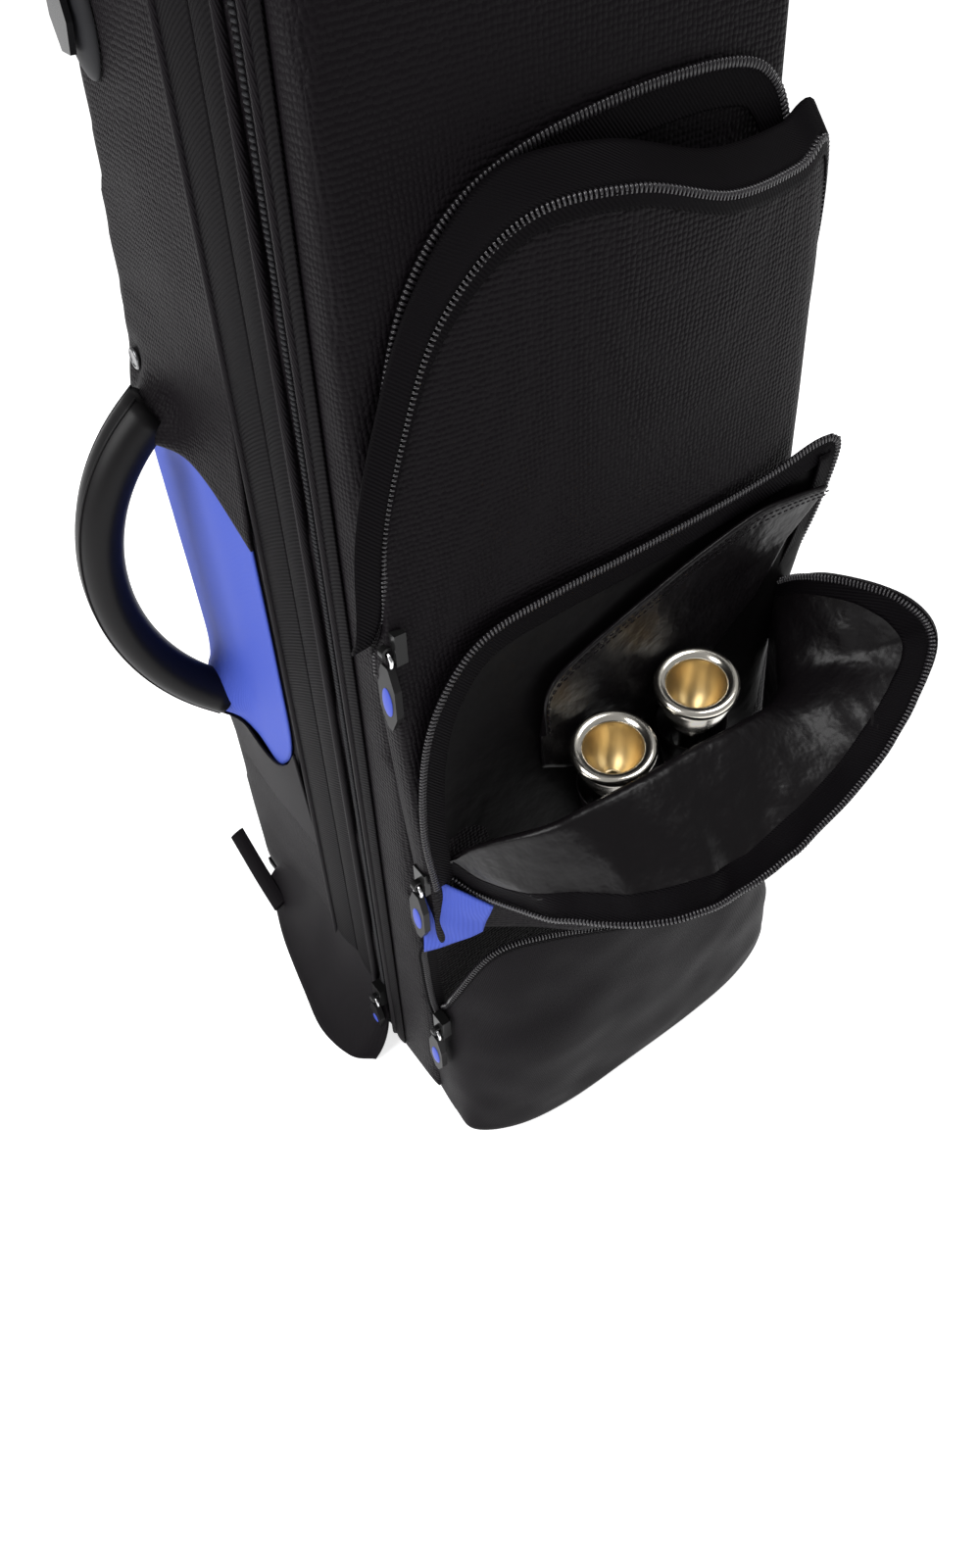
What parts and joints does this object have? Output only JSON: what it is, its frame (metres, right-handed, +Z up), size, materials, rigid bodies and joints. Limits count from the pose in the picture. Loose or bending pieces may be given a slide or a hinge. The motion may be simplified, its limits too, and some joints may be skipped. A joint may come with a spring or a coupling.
{
  "type": "trombone gig bag",
  "caption": "Upright padded backpack bag for a tenor trombone, with a hinged zipped lid, open front pockets, a side grip handle and mouthpieces in their sleeves.",
  "frame": {"origin": "middle of the base on the ground, under the bag's centre line", "axes": "+Z up, -Y towards the front with the pockets, +X to the right as seen from the front"},
  "size_m": [0.2884, 0.3596, 0.8929],
  "materials": {
    "ballistic_nylon": "coarse honeycomb-woven black nylon",
    "smooth_nylon": "fine black nylon",
    "twill_tape": "black herringbone tape",
    "blue_ripstop": "blue ripstop nylon",
    "satin_lining": "dark grey satin lining",
    "black_foam": "cloth-covered foam",
    "mesh_pad": "spacer mesh over foam",
    "webbing": "black webbing",
    "black_rubber": "moulded black rubber, satin",
    "blue_rubber": "moulded blue rubber",
    "zip_metal": "polished nickel",
    "slider_black": "gloss black paint",
    "black_plastic": "moulded black plastic",
    "gloss_black": "gloss black plastic",
    "silver_brass": "silver-plated rim over gold-coloured brass",
    "base_rubber": "rubberised base cloth"
  },
  "bodies": {
    "case": {"base_panel": "base_rubber", "rear_shell": "smooth_nylon", "floor_pad": "black_foam", "neck_block": "black_foam", "rear_piping": "twill_tape", "side_band": "ballistic_nylon", "zip_band": "smooth_nylon", "zip_piping": "twill_tape", "main_zip_tape": "twill_tape", "upper_back_pad": "mesh_pad", "lumbar_pad": "mesh_pad", "shoulder_strap_left": "smooth_nylon", "shoulder_strap_right": "smooth_nylon", "strap_webbing_left": "webbing", "strap_webbing_right": "webbing", "strap_buckles": "black_plastic", "strap_anchors": "smooth_nylon", "haul_loop": "webbing", "handle_tabs": "smooth_nylon", "blue_side_panel": "blue_ripstop", "press_stud": "black_plastic", "strap_fitting": "black_plastic"},
    "handle": {"side_handle": "black_rubber"},
    "fitting_tab": {"fitting_tab": "gloss_black"},
    "skirt": {"base_skirt": "smooth_nylon"},
    "lid": {"lid_shell": "ballistic_nylon", "lid_zip_piping": "twill_tape", "lid_side_band": "ballistic_nylon", "lower_pocket": "smooth_nylon", "mid_pocket": "satin_lining", "upper_pocket": "ballistic_nylon", "blue_gusset": "blue_ripstop", "mouthpiece_sleeves": "satin_lining", "organiser_panel": "satin_lining"},
    "lower_flap": {"lower_flap": "smooth_nylon"},
    "upper_flap": {"upper_flap": "ballistic_nylon"},
    "mid_flap": {"mid_flap": "satin_lining"},
    "mouthpiece_left": {"mouthpiece_left": "silver_brass"},
    "mouthpiece_right": {"mouthpiece_right": "silver_brass"},
    "main_slider": {"main_slider": "slider_black"},
    "main_pull": {"main_pull_ring": "zip_metal", "main_pull": "black_rubber", "main_pull_inlay": "blue_rubber"},
    "upper_slider": {"upper_slider": "slider_black"},
    "upper_pull": {"upper_pull_ring": "zip_metal", "upper_pull": "black_rubber", "upper_pull_inlay": "blue_rubber"},
    "mid_slider": {"mid_slider": "slider_black"},
    "mid_pull": {"mid_pull_ring": "zip_metal", "mid_pull": "black_rubber", "mid_pull_inlay": "blue_rubber"},
    "lower_slider": {"lower_slider": "slider_black"},
    "lower_pull": {"lower_pull_ring": "zip_metal", "lower_pull": "black_rubber", "lower_pull_inlay": "blue_rubber"}
  },
  "joints": [
    {"name": "lid_hinge", "type": "hinge", "parent": "case", "child": "lid", "pos_m": [0.1214, -0.057, 0], "axis": [-0.0581, 0, 0.9983], "range_deg": [0, 110]},
    {"name": "handle_swing", "type": "hinge", "parent": "case", "child": "handle", "pos_m": [-0.11782, 0.07452, 0.27], "axis": [0.0581, 0, 0.9983], "range_deg": [-45, 45]},
    {"name": "fitting_tab_hinge", "type": "hinge", "parent": "case", "child": "fitting_tab", "pos_m": [-0.09749, 0.068, 0.514], "axis": [0, 1, 0], "range_deg": [0, 75]},
    {"name": "skirt_fold", "type": "hinge", "parent": "case", "child": "skirt", "pos_m": [-0.12173, 0.031, 0.07], "axis": [0, 1, 0], "range_deg": [0, 65]},
    {"name": "lower_flap_fold", "type": "hinge", "parent": "lid", "child": "lower_flap", "pos_m": [0, -0.15389, 0.10684], "axis": [-1, 0, 0], "range_deg": [0, 5]},
    {"name": "upper_flap_fold", "type": "hinge", "parent": "lid", "child": "upper_flap", "pos_m": [0, -0.10865, 0.33319], "axis": [-1, 0, 0], "range_deg": [0, 7]},
    {"name": "mid_flap_fold", "type": "hinge", "parent": "lid", "child": "mid_flap", "pos_m": [0, -0.15694, 0.24088], "axis": [-0.9572, -0.0118, -0.2892], "range_deg": [0, 84]},
    {"name": "mouthpiece_left_lift", "type": "slide", "parent": "lid", "child": "mouthpiece_left", "axis": [0, 0.0407, 0.9992], "range_m": [0, 0.09]},
    {"name": "mouthpiece_right_lift", "type": "slide", "parent": "lid", "child": "mouthpiece_right", "axis": [0, 0.0407, 0.9992], "range_m": [0, 0.09]},
    {"name": "main_zip_slide", "type": "slide", "parent": "case", "child": "main_slider", "axis": [0.0581, 0, 0.9983], "range_m": [0, 0.75]},
    {"name": "main_pull_swing", "type": "hinge", "parent": "main_slider", "child": "main_pull", "pos_m": [-0.12516, -0.0572, 0.04238], "axis": [0, 1, 0], "range_deg": [0, 110]},
    {"name": "upper_zip_slide", "type": "slide", "parent": "lid", "child": "upper_slider", "axis": [0.0581, 0.0406, 0.9975], "range_m": [0, 0.05]},
    {"name": "upper_pull_swing", "type": "hinge", "parent": "upper_slider", "child": "upper_pull", "pos_m": [-0.10239, -0.10579, 0.33038], "axis": [0, 1, 0], "range_deg": [0, 110]},
    {"name": "mid_zip_slide", "type": "slide", "parent": "lid", "child": "mid_slider", "axis": [0.0581, 0.0406, 0.9975], "range_m": [0, 0.08]},
    {"name": "mid_pull_swing", "type": "hinge", "parent": "mid_slider", "child": "mid_pull", "pos_m": [-0.11008, -0.11116, 0.19838], "axis": [0, 1, 0], "range_deg": [0, 110]},
    {"name": "lower_zip_slide", "type": "slide", "parent": "lid", "child": "lower_slider", "axis": [0.0581, 0.0406, 0.9975], "range_m": [0, 0.055]},
    {"name": "lower_pull_swing", "type": "hinge", "parent": "lower_slider", "child": "lower_pull", "pos_m": [-0.117, -0.116, 0.07938], "axis": [0, 1, 0], "range_deg": [0, 110]}
  ]
}
